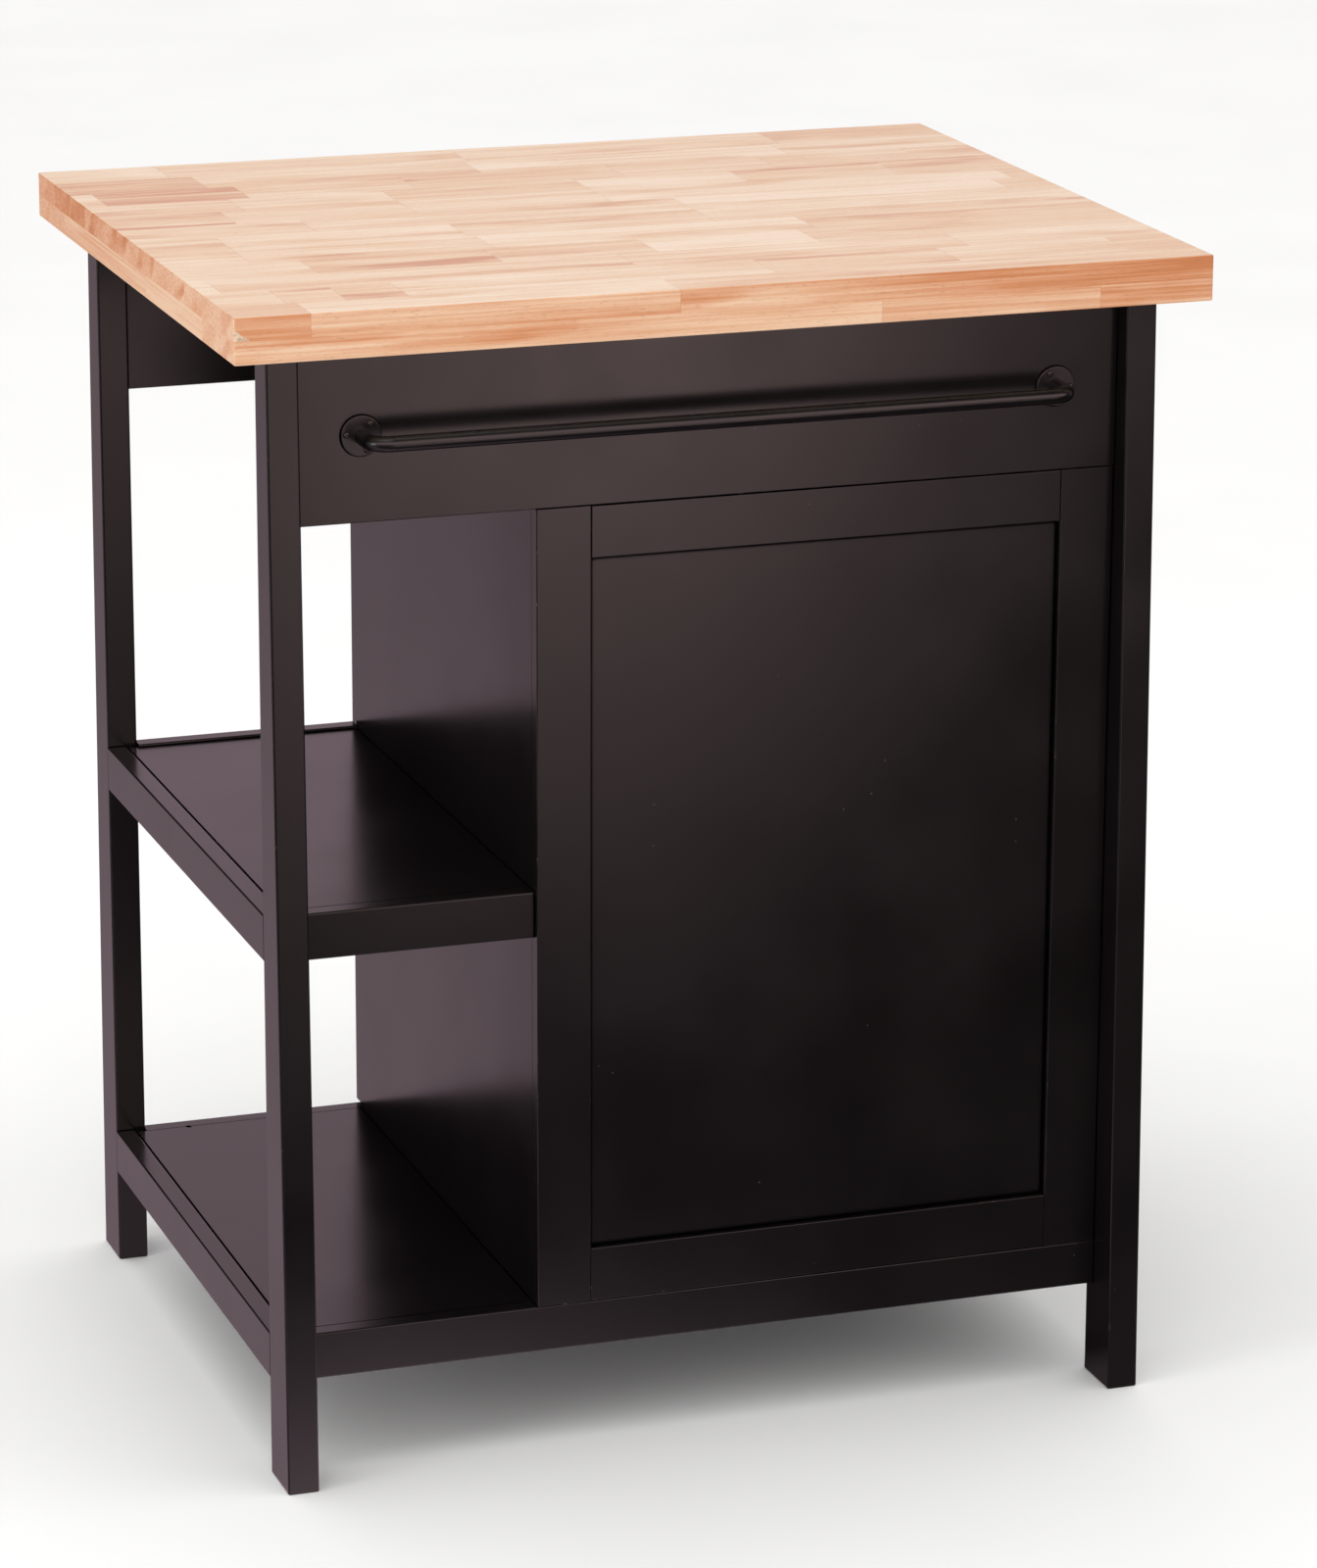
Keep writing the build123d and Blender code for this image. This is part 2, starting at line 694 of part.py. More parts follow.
hinge_screw = flat_head_screw(hinge_screw_r, hinge_screw_l, hinge_screw_head_r)
save_screws("hinge_screws_leg", hinge_screw, [seat(pin, to_left, leaf_t) for pin in leg_hinge_pilots])
save_screws("hinge_screws_door", hinge_screw, [seat(pin, to_right, leaf_t) for pin in door_hinge_pilots])


# ---- Knob ----
with BuildPart() as door_knob:
    with BuildSketch(Plane(origin=(knob_x, face_y, knob_z), x_dir=(1, 0, 0), z_dir=(0, 0, 1))):
        with BuildLine():
            crown = (0, knob_base_t + knob_neck_l + knob_head_t)
            shoulder = (knob_r, knob_base_t + knob_neck_l + knob_shoulder_t)
            flare = (knob_neck_r, knob_base_t + knob_neck_l / 2)
            base_rim = (knob_base_r, knob_base_t)
            Polyline(crown, (0, 0), (knob_base_r, 0), base_rim, (knob_neck_r, knob_base_t), flare)
            Spline(flare, shoulder, tangents=((0, 1), (0, 1)))
            Spline(shoulder, crown, tangents=((0, 1), (-1, 0)))
        make_face()
    revolve(axis=Axis((knob_x, face_y, knob_z), (0, 1, 0)))
    bore(door_knob, [knob_pin])
save(door_knob, "door_knob")

knob_screw_l = frame_t + knob_screw_grip
knob_screw = pan_head_screw(knob_screw_r, knob_screw_l, knob_screw_head_r, knob_screw_head_t)
save_screws("knob_screw", knob_screw, [seat(knob_pin, (0, -1, 0), frame_t)])


# ---- Magnetic catch ----
strike_y = frame_in_y - strike_t
with BuildPart() as catch:
    plate_x = (partition_right_x, partition_right_x + catch_plate[0])
    plate_y = (partition_back_y - catch_plate[1], partition_back_y)
    box(plate_x, plate_y, (catch_z - catch_plate[2] / 2, catch_z + catch_plate[2] / 2))
    body_x = (plate_x[1], plate_x[1] + catch_body[0])
    body_y = (strike_y - catch_gap - catch_body[1], strike_y - catch_gap)
    box(body_x, body_y, (catch_z - catch_body[2] / 2, catch_z + catch_body[2] / 2))
    bore(catch, catch_pins)
save(catch, "magnetic_catch")

catch_screw = pan_head_screw(screw_r, catch_screw_l, screw_head_r, screw_head_t)
save_screws("catch_screws", catch_screw, [seat(pin, to_right, catch_plate[0]) for pin in catch_pins])

with BuildPart() as strike_plate:
    half = strike_size / 2
    box((strike_x - half, strike_x + half), (strike_y, frame_in_y), (catch_z - half, catch_z + half))
    ease(strike_plate, Axis.Y, strike_pin_r)
    with Locations(Plane(origin=(strike_x, frame_in_y + strike_pin_l / 2, catch_z), z_dir=(0, 1, 0))):
        Cylinder(strike_pin_r, strike_pin_l)
save(strike_plate, "strike_plate")


# ---- Towel bar: a bent rod let into a screwed flange at each end ----
left_end, right_end = flange_centres()
bar_y = -face_y - bar_standoff
with BuildPart() as towel_bar:
    with BuildLine() as route:
        FilletPolyline(
            left_end,
            (left_end[0], bar_y, left_end[2]),
            (right_end[0], bar_y, right_end[2]),
            right_end,
            radius=bar_bend_r,
        )
    with BuildSketch(Plane(origin=left_end, z_dir=(0, -1, 0))):
        Circle(bar_r)
    sweep(path=route.line)
save(towel_bar, "towel_bar")

for label, centre in (("flange_left", left_end), ("flange_right", right_end)):
    with BuildPart() as flange:
        with BuildSketch(Plane(origin=centre, z_dir=(0, -1, 0))):
            Circle(flange_r)
            Circle(bar_r + bore_fit, mode=Mode.SUBTRACT)
        extrude(amount=flange_t)
        rim = flange.edges().filter_by(GeomType.CIRCLE).group_by(Axis.Y)[0].sort_by(SortBy.RADIUS)[-1]
        fillet(rim, flange_arris)
        bore(flange, towel_bar_screw_pins)
    save(flange, label)

bar_screw = pan_head_screw(screw_r, bar_screw_l, screw_head_r, screw_head_t)
bar_screw_seats = [seat(pin, (0, -1, 0), flange_t) for pin in towel_bar_screw_pins]
save_screws("towel_bar_screws", bar_screw, bar_screw_seats)

cleat_screw = pan_head_screw(cleat_screw_r, cleat_screw_l, cleat_screw_head_r, cleat_screw_head_t)
cleat_screw_seats = [seat(pin, (0, 0, -1), cleat_size) for pin in cleat_screw_pins]
save_screws("cleat_screws", cleat_screw, cleat_screw_seats)


# ---- Dowels ----
for label, pins in (("dowels_large", dowels), ("dowels_small", small_dowels)):
    with BuildPart() as group:
        for pin in pins:
            rod(pin)
    save(group, label)
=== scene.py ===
import json
import math
import random

import bmesh
import bpy
from mathutils import Matrix, Vector


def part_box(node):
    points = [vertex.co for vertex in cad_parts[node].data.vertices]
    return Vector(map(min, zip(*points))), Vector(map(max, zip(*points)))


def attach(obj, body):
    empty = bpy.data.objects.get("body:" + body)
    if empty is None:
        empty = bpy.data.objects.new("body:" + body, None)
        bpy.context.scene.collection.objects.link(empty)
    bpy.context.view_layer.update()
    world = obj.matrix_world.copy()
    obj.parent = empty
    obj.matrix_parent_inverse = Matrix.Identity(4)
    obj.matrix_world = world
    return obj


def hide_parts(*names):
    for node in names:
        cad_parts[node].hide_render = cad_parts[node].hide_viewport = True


# Butcher block table: a rubberwood stave top on a frame in satin black lacquer, with a towel bar.
# Metres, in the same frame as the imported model. The towel bar side faces -Y.

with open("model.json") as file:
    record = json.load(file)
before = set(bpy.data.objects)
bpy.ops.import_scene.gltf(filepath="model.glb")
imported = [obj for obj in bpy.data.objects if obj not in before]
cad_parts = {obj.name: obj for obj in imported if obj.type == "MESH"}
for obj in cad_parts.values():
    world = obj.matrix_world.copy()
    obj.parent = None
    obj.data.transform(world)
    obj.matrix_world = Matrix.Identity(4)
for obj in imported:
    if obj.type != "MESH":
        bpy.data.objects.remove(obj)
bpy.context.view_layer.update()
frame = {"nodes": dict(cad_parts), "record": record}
MM = 0.001
FAR = 10.0    # past every end of the table
TINY = 1e-6   # nearer than this counts as in the same place


# ---- Small helpers ----
def linear(hex_colour):
    """An sRGB hex colour, such as "c08a5a", as linear red, green, blue and alpha."""
    parts = [int(hex_colour[i:i + 2], 16) / 255 for i in (0, 2, 4)]
    flat = [c / 12.92 if c <= 0.04045 else ((c + 0.055) / 1.055) ** 2.4 for c in parts]
    return (*flat, 1.0)


def new_material(name):
    """An empty material; returns it and its node tree."""
    material = bpy.data.materials.new(name)
    material.use_nodes = True
    material.node_tree.nodes.clear()
    return material, material.node_tree


def add(tree, kind, inputs=None, **settings):
    """Adds a shader node. Inputs maps a socket to a value, or to another node's output socket."""
    made = tree.nodes.new("ShaderNode" + kind)
    for name, value in settings.items():
        setattr(made, name, value)
    for key, value in (inputs or {}).items():
        if isinstance(value, bpy.types.NodeSocket):
            tree.links.new(value, made.inputs[key])
        else:
            made.inputs[key].default_value = value
    return made


def spread(tree, value, low, high, to_low=0.0, to_high=1.0):
    """Maps low..high of a value to to_low..to_high, and clamps it there."""
    return add(tree, "MapRange", {0: value, 1: low, 2: high, 3: to_low, 4: to_high}).outputs[0]


def maths(tree, operation, *values):
    """One Math node over its values."""
    return add(tree, "Math", dict(enumerate(values)), operation=operation).outputs[0]


def noise(tree, place, scale, detail=2.0, roughness=0.5):
    """Noise over a place; scale is one number, or one for each axis, in features a metre."""
    if isinstance(scale, tuple):
        place = add(tree, "Mapping", {"Vector": place, "Scale": scale}).outputs[0]
        scale = 1.0
    return add(tree, "TexNoise", {
        "Vector": place, "Scale": scale, "Detail": detail, "Roughness": roughness}).outputs[0]


def ramp(tree, factor, stops):
    """A colour ramp over (position, hex colour) stops."""
    made = add(tree, "ValToRGB", {0: factor})
    elements = made.color_ramp.elements
    while len(elements) < len(stops):
        elements.new(0.5)
    for element, (place, colour) in zip(elements, stops):
        element.position = place
        element.color = linear(colour)
    return made.outputs[0]


def blend(tree, factor, low, high):
    """Mixes two colours; each is a socket or a hex colour."""
    low, high = [linear(c) if isinstance(c, str) else c for c in (low, high)]
    return add(tree, "Mix", {0: factor, 6: low, 7: high}, data_type="RGBA").outputs[2]


def rounding(tree, radius):
    """1 on a flat face, and less where an arris of that radius turns away from the face."""
    normal = add(tree, "NewGeometry").outputs["Normal"]
    rounded = add(tree, "Bevel", {"Radius": radius}, samples=4).outputs[0]
    return add(
        tree, "VectorMath", {0: rounded, 1: normal}, operation="DOT_PRODUCT").outputs["Value"]


def dress(name, material):
    """Gives a CAD node a material through its slots."""
    node = frame["nodes"][name]
    for slot in node.material_slots:
        slot.material = material
    if not node.material_slots:
        node.data.materials.append(material)


# ---- Materials ----
def black_lacquer(name, grain_scale, seam=1.1 * MM):
    """Satin black lacquer sprayed over sanded wood: nearly black and a little warm, with a soft
    mirror of the room in it. The grain shows through as faint ripples along the piece, and the
    spray leaves a slight orange peel. The seams between pieces are painted as dull black lines,
    a painted shade with less reflection; the last argument is how far from the other piece that
    painted shade reaches. Arrises away from the seams are painted a little browner, partly rubbed
    thin and partly a painted highlight of the eased edge, with a few small chips, and specks of
    dust are caught in the coat."""
    material, tree = new_material(name)
    place = add(tree, "TexCoord").outputs["Object"]
    ripple = noise(tree, place, grain_scale, 4.0, 0.6)
    peel = noise(tree, place, 1 / (2.4 * MM))
    cloud = noise(tree, place, 1 / (90 * MM), 3.0)
    tone = ramp(tree, cloud, [(0.3, "0f0c0d"), (0.7, "141112")])
    # Arrises away from the seams are painted browner in patches: partly rubbed-thin paint, partly a
    # painted highlight of the eased edge; the light chips are chipped paint.
    arris = spread(tree, rounding(tree, 0.9 * MM), 0.995, 0.93)
    patches = noise(tree, place, 1 / (14 * MM), 3.0)
    wear_and_highlight = maths(tree, "MULTIPLY", arris, spread(tree, patches, 0.4, 0.65, 0.15))
    knocks = noise(tree, place, 1 / (5 * MM), 3.0)
    chips = maths(tree, "MULTIPLY", arris, spread(tree, knocks, 0.66, 0.7))
    edge_lightened_tone = blend(tree, chips, blend(tree, wear_and_highlight, tone, "332b2a"), "857871")
    # Dust specks are drawn about 0.5 mm across, so that they still show.
    dust = add(tree, "TexVoronoi", {"Vector": place, "Scale": 1 / (11 * MM)})
    pick = add(tree, "SeparateColor", {0: dust.outputs["Color"]}).outputs[0]
    small = spread(tree, dust.outputs["Distance"], 0.05, 0.03)
    speck = maths(tree, "MULTIPLY", small, maths(tree, "GREATER_THAN", pick, 0.92))
    dusty = blend(tree, speck, edge_lightened_tone, "5a5253")
    # A splinter is missing from the back edge of the bottom shelf: a dent about 5 mm across, with no
    # shape of its own, painted dark as a painted shade of the hollow.
    from_dent = add(
        tree, "VectorMath", {0: place, 1: shelf_dent}, operation="DISTANCE").outputs["Value"]
    ragged = maths(tree, "MULTIPLY_ADD", noise(tree, place, 1 / (2 * MM)), 3.0 * MM, from_dent)
    whole = spread(tree, ragged, 3.9 * MM, 4.3 * MM)
    # Painted shade: 1 on an open surface, 0 deep in a seam or in the dent, where the colour is painted
    # near black and the reflection dimmed.
    open_air = add(tree, "AmbientOcclusion", {"Distance": seam}, samples=8).outputs["AO"]
    free = maths(tree, "MULTIPLY", spread(tree, open_air, 0.8, 0.97), whole)
    colour = blend(tree, free, "020202", dusty)
    gloss = spread(tree, cloud, 0.3, 0.7, 0.20, 0.25)
    coat = add(tree, "Mix", {0: 0.7, 2: peel, 3: ripple}).outputs[0]
    height = maths(tree, "MULTIPLY_ADD", speck, 1.5, coat)
    bump = add(tree, "Bump", {"Strength": 0.10, "Distance": 0.04 * MM, "Height": height}).outputs[0]
    # The painted shade also takes the reflection out of the seams and the dent.
    shader = add(tree, "BsdfPrincipled", {
        "Base Color": colour, "Roughness": gloss, "IOR": 1.5, "Normal": bump,
        "Specular IOR Level": maths(tree, "MULTIPLY", free, 0.5)})
    add(tree, "OutputMaterial", {0: shader.outputs[0]})
    return material


def rubberwood(name, turn):
    """Oiled rubberwood staves: pale cream to pinkish tan, a different tone in each stave, with
    long soft streaks, some arched figure, and fine dark pores that read as short dashes. The sawn
    and sanded edges are painted more orange and darker than the top: painted shade, for the sides
    that get less light than the top. The attribute "stave" holds each face's tone, a number that
    moves the figure, and 1 on an edge; "span" holds the two ends of its stave, where a thin glue
    line shows, and how much the tone rises a metre along it."""
    material, tree = new_material(name)
    place = add(tree, "TexCoord").outputs["Object"]
    along = add(tree, "Mapping", {"Vector": place, "Rotation": (0, 0, turn)}).outputs[0]
    stave = add(tree, "Attribute", attribute_name="stave").outputs["Vector"]
    near_tone, seed, edge = add(tree, "SeparateXYZ", {0: stave}).outputs
    span = add(tree, "Attribute", attribute_name="span").outputs["Vector"]
    start, end, rise = add(tree, "SeparateXYZ", {0: span}).outputs
    run = add(tree, "SeparateXYZ", {0: along}).outputs[0]
    tone = maths(tree, "MULTIPLY_ADD", run, rise, near_tone)
    moved = add(tree, "CombineXYZ", {0: seed, 1: seed, 2: seed}).outputs[0]
    shifted = add(tree, "VectorMath", {0: along, 1: moved}, operation="ADD").outputs[0]
    # Growth rings round a line that runs nearly along the stave, bent so that they arch on the face.
    # They are about 41 mm apart, because the faces are cut nearly along them.
    wander_place = add(tree, "Mapping", {"Vector": shifted, "Scale": (5, 22, 22)}).outputs[0]
    wander = add(tree, "TexNoise", {"Vector": wander_place, "Scale": 1.0}).outputs["Color"]
    bent = add(tree, "VectorMath", {0: wander, "Scale": 0.05}, operation="SCALE").outputs[0]
    ring_place = add(tree, "VectorMath", {0: shifted, 1: bent}, operation="ADD").outputs[0]
    ring_flat = add(tree, "Mapping", {"Vector": ring_place, "Scale": (0.06, 1, 1)}).outputs[0]
    rings = add(tree, "TexWave", {
        "Vector": ring_flat, "Scale": 1 / (20 * 6.5 * MM), "Distortion": 0.6, "Detail": 2.0,
        "Detail Scale": 2.0}, wave_type="RINGS", rings_direction="X").outputs[1]
    streaks = noise(tree, shifted, (7, 380, 380), 6.0, 0.68)
    # Bands of early and late wood, closer together on the edges, which are seen nearly square on.
    closer = maths(tree, "MULTIPLY_ADD", edge, 2.0, 1.0)
    squeeze = add(tree, "CombineXYZ", {0: 1.0, 1: closer, 2: closer}).outputs[0]
    band_place = add(tree, "VectorMath", {0: shifted, 1: squeeze}, operation="MULTIPLY").outputs[0]
    bands = spread(tree, noise(tree, band_place, (4, 150, 150), 4.0, 0.6), 0.36, 0.64)
    # Pores are about 0.3 mm wide and 5 mm long, drawn a little coarse so that they still show.
    pores = spread(tree, noise(tree, shifted, (150, 1500, 1500), 1.0), 0.62, 0.74)
    # The figure is strong in some places and absent in others.
    strong = spread(tree, noise(tree, shifted, (9, 28, 28)), 0.48, 0.68, 0.12, 0.7)
    figure = maths(tree, "MULTIPLY", spread(tree, rings, 0.45, 0.95, -0.35, 0.65), strong)
    fine = maths(tree, "MULTIPLY_ADD", streaks, 0.9, -0.45)
    wide = maths(tree, "MULTIPLY_ADD", bands, 0.42, -0.21)
    calmed = maths(tree, "MULTIPLY_ADD", tone, 0.75, 0.09)
    level = maths(tree, "ADD", maths(tree, "ADD", figure, fine), maths(tree, "ADD", wide, calmed))
    face_tone = ramp(tree, level, [
        (0.0, "e9d5be"), (0.25, "e4caae"), (0.5, "dfbf9f"), (0.75, "d9b192"), (1.0, "cc9779")])
    # Painted shade: the edges take a darker, more orange ramp than the top, for their lower light.
    shaded_edge_tone = ramp(tree, level, [
        (0.0, "e7c1a0"), (0.25, "e0af8b"), (0.5, "d89e77"), (0.75, "d18d60"), (1.0, "c57a4a")])
    body = blend(tree, edge, face_tone, shaded_edge_tone)
    pored = blend(tree, maths(tree, "MULTIPLY", pores, 0.32), body, "96562f")
    # The glue line is drawn 0.4 mm wide, so that it still shows.
    from_start = maths(tree, "ABSOLUTE", maths(tree, "SUBTRACT", run, start))
    from_end = maths(tree, "ABSOLUTE", maths(tree, "SUBTRACT", run, end))
    to_joint = maths(tree, "MINIMUM", from_start, from_end)
    glued = blend(tree, spread(tree, to_joint, 0.3 * MM, 0.1 * MM, 0.0, 0.35), pored, "8f5a35")
    # A filled nick, about 12 mm long and 9 mm high, in the front left corner of the board. It is a
    # ragged triangle on the front face, just above the glue line of the layer below.
    beside = add(tree, "VectorMath", {0: place, 1: board_low}, operation="SUBTRACT").outputs[0]
    from_left, from_front, from_low = add(tree, "SeparateXYZ", {0: beside}).outputs
    ragged = noise(tree, place, 1 / (3 * MM), 4.0, 0.65)
    slope = maths(tree, "MULTIPLY_ADD", from_left, 9 / 12, from_low)
    nick_edge = maths(tree, "MULTIPLY_ADD", ragged, 7.0 * MM, slope)
    triangle = spread(tree, nick_edge, 12.7 * MM, 12.2 * MM)
    on_front = maths(tree, "LESS_THAN", from_front, 1.5 * MM)
    above_glue = maths(tree, "GREATER_THAN", from_low, 0.3 * MM)
    nick = maths(tree, "MULTIPLY", triangle, maths(tree, "MULTIPLY", on_front, above_glue))
    filler = ramp(tree, ragged, [(0.35, "b8987c"), (0.5, "d6b99d"), (0.65, "e4ccb3")])
    colour = blend(tree, nick, glued, filler)
    height = maths(tree, "MULTIPLY_ADD", pores, -0.8, streaks)
    bump = add(tree, "Bump", {"Strength": 0.15, "Distance": 0.06 * MM, "Height": height}).outputs[0]
    shine = spread(tree, streaks, 0.3, 0.7, 0.36, 0.46)
    shader = add(tree, "BsdfPrincipled", {
        "Base Color": colour, "Roughness": shine, "IOR": 1.48, "Normal": bump})
    add(tree, "OutputMaterial", {0: shader.outputs[0]})
    return material


def bare_wood(name):
    """Bare planed wood on the hidden pieces: dry and matt, pale tan, with long streaks."""
    material, tree = new_material(name)
    place = add(tree, "TexCoord").outputs["Object"]
    streaks = noise(tree, place, (12, 380, 380), 4.0, 0.6)
    cloud = noise(tree, place, 1 / (60 * MM), 3.0)
    level = maths(tree, "MULTIPLY_ADD", cloud, 0.4, maths(tree, "MULTIPLY", streaks, 0.6))
    colour = ramp(tree, level, [(0.3, "d9bd95"), (0.5, "cba97e"), (0.7, "b89066")])
    bump = add(tree, "Bump", {"Strength": 0.3, "Distance": 0.1 * MM, "Height": streaks}).outputs[0]
    shine = spread(tree, streaks, 0.3, 0.7, 0.65, 0.78)
    shader = add(tree, "BsdfPrincipled", {
        "Base Color": colour, "Roughness": shine, "IOR": 1.45, "Normal": bump})
    add(tree, "OutputMaterial", {0: shader.outputs[0]})
    return material


def black_steel(name):
    """Steel in semi-gloss black paint: a smooth coat with a soft reflection, and a painted highlight
    along its edges: a brown line where the edges would catch the light."""
    material, tree = new_material(name)
    place = add(tree, "TexCoord").outputs["Object"]
    cloud = noise(tree, place, 1 / (25 * MM), 3.0)
    peel = noise(tree, place, 1 / (1.1 * MM))
    tone = ramp(tree, cloud, [(0.3, "0a0809"), (0.7, "100d0e")])
    # Painted highlight: the edges are painted a lighter brown, as if they caught the light.
    arris = spread(tree, rounding(tree, 0.8 * MM), 0.93, 0.75, 0.0, 0.8)
    edge_lightened_tone = blend(tree, arris, tone, "5e4f4a")
    gloss = spread(tree, cloud, 0.3, 0.7, 0.28, 0.33)
    bump = add(tree, "Bump", {"Strength": 0.05, "Distance": 0.03 * MM, "Height": peel}).outputs[0]
    shader = add(tree, "BsdfPrincipled", {
        "Base Color": edge_lightened_tone, "Roughness": gloss, "IOR": 1.6, "Normal": bump})
    add(tree, "OutputMaterial", {0: shader.outputs[0]})
    return material


def zinc_steel(name):
    """Pressed steel with a bright zinc plating: grey with a slight blue cast, cloudy, with fine
    drawn lines."""
    material, tree = new_material(name)
    place = add(tree, "TexCoord").outputs["Object"]
    cloud = noise(tree, place, 1 / (7 * MM), 3.0)
    lines = noise(tree, place, (2500, 2500, 120))
    tone = ramp(tree, cloud, [(0.3, "a9abad"), (0.7, "c3c4c3")])
    gloss = spread(tree, cloud, 0.3, 0.7, 0.26, 0.38)
    bump = add(tree, "Bump", {"Strength": 0.12, "Distance": 0.03 * MM, "Height": lines}).outputs[0]
    shader = add(tree, "BsdfPrincipled", {
        "Base Color": tone, "Metallic": 1.0, "Roughness": gloss, "Normal": bump})
    add(tree, "OutputMaterial", {0: shader.outputs[0]})
    return material


def catch_plastic(name):
    """Moulded ABS in off-white: matt, with a fine spark-eroded texture."""
    material, tree = new_material(name)
    place = add(tree, "TexCoord").outputs["Object"]
    cloud = noise(tree, place, 1 / (12 * MM), 3.0)
    grit = noise(tree, place, 1 / (0.5 * MM))
    tone = ramp(tree, cloud, [(0.3, "dcd9cf"), (0.7, "e4e1d8")])
    bump = add(tree, "Bump", {"Strength": 0.2, "Distance": 0.04 * MM, "Height": grit}).outputs[0]
    gloss = spread(tree, grit, 0.3, 0.7, 0.45, 0.55)
    shader = add(tree, "BsdfPrincipled", {
        "Base Color": tone, "Roughness": gloss, "IOR": 1.53, "Normal": bump})
    add(tree, "OutputMaterial", {0: shader.outputs[0]})
    return material


# ---- Stave boards of the top ----
CORNER_ROUNDING = 2.0 * MM
EDGE_ROUNDING = 1.0 * MM


def cut(shape, faces, point, normal):
    """Cuts the given faces, and no others, along a plane."""
    edges = {edge for face in faces for edge in face.edges}
    verts = {vert for face in faces for vert in face.verts}
    bmesh.ops.bisect_plane(
        shape, geom=[*verts, *edges, *faces], dist=TINY, plane_co=point, plane_no=normal)


def stave_board(name, node, rounded_sides, rounded_end, axis, rows, material):
    """A board of glued staves in place of a CAD node. rounded_sides are the sides of the box whose
    arrises are eased, and rounded_end is 1 for its top or -1 for its underside. axis is the way
    that the staves run: 0 for X, 1 for Y. Each row is (width, tone of its ends, staves), and each
    stave (length, tone, tone of its edge), all in millimetres from the low corner, apart from the
    last row and the last stave, which run to the far side. A pair of edge tones are those of the
    stave's two ends."""
    low, high = [Vector(corner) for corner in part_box(node)]
    shape = bmesh.new()
    bmesh.ops.create_cube(shape, size=1.0)
    bmesh.ops.scale(shape, vec=high - low, verts=shape.verts)
    bmesh.ops.translate(shape, vec=(low + high) / 2, verts=shape.verts)

    def on_side(edge, side):
        """Whether an edge lies in one of the box's sides, (axis, +1 or -1)."""
        limit = (high if side[1] > 0 else low)[side[0]]
        return all(abs(vert.co[side[0]] - limit) < TINY for vert in edge.verts)

    corners = [e for e in shape.edges if sum(on_side(e, s) for s in rounded_sides) == 2]
    bmesh.ops.bevel(
        shape, geom=corners, offset=CORNER_ROUNDING, segments=4, profile=0.5, affect="EDGES",
        material=-1)
    end = (2, rounded_end)
    middle = (low + high) / 2

    def outer(edge):
        """Whether an edge of the rounded end borders a rounded side or a rounded corner."""
        walls = [f for f in edge.link_faces if abs(f.normal.z) < 0.5]
        return any(
            (wall.calc_center_median() - middle)[along] * way > 0.9 * abs((high - middle)[along])
            for wall in walls for along, way in rounded_sides if abs(wall.normal[along]) > 0.05)

    shape.normal_update()
    rim = [e for e in shape.edges if on_side(e, end) and outer(e)]
    bmesh.ops.bevel(
        shape, geom=rim, offset=EDGE_ROUNDING, segments=3, profile=0.5, affect="EDGES", material=-1)

    across = 1 - axis
    spans = []
    at = low[across]
    for index, (width, end_tone, staves) in enumerate(rows):
        last = index == len(rows) - 1
        top = high[across] if last else at + width * MM
        spans.append((at, top, end_tone, staves))
        at = top
    row_normal = Vector((0, 0, 0))
    row_normal[across] = 1
    for _, top, _, _ in spans[:-1]:
        point = low.copy()
        point[across] = top
        cut(shape, shape.faces[:], point, row_normal)
    joint_normal = Vector((0, 0, 0))
    joint_normal[axis] = 1
    for bottom, top, _, staves in spans:
        point = low.copy()
        for length, _, _ in staves[:-1]:
            point[axis] += length * MM
            row = [f for f in shape.faces
                   if bottom - TINY < f.calc_center_median()[across] < top + TINY]
            cut(shape, row, point, joint_normal)

    shape.normal_update()
    stave_layer = shape.faces.layers.float_vector.new("stave")
    span_layer = shape.faces.layers.float_vector.new("span")
    seeds = random.Random(name)
    for bottom, top, end_tone, staves in spans:
        start = low[axis]
        for index, (length, tone, shaded_edge_tone) in enumerate(staves):
            first, last = index == 0, index == len(staves) - 1
            stop = high[axis] if last else start + length * MM
            seed = seeds.uniform(0.0, 9.0)
            near, far = shaded_edge_tone if isinstance(shaded_edge_tone, tuple) else (shaded_edge_tone, shaded_edge_tone)
            rise = (far - near) / (stop - start)
            for face in shape.faces:
                centre = face.calc_center_median()
                if not (bottom - TINY <= centre[across] <= top + TINY
                        and start - TINY <= centre[axis] <= stop + TINY):
                    continue
                flat = abs(face.normal.z) > 0.8
                is_end = abs(face.normal[axis]) > 0.7
                even = flat or is_end
                own_tone = tone if flat else end_tone if is_end else near - rise * start
                face[stave_layer] = (own_tone, seed, 0.0 if flat else 1.0)
                face[span_layer] = (
                    -FAR if first else start, FAR if last else stop, 0.0 if even else rise)
            start = stop
    mesh = bpy.data.meshes.new(name)
    shape.to_mesh(mesh)
    shape.free()
    mesh.materials.append(material)
    board = bpy.data.objects.new(name, mesh)
    bpy.context.scene.collection.objects.link(board)
    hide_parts(node)
    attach(board, "table")


def plain_row(width, end_tone, *staves):
    """A row whose staves' edges are on no side of the board: each stave is (length, tone)."""
    return (width, end_tone, [(length, tone, tone) for length, tone in staves])


board_low = Vector(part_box("top_board")[0])
staves_x = rubberwood("oiled_rubberwood_staves_x", 0.0)
staves_y = rubberwood("oiled_rubberwood_staves_y", math.radians(-90))

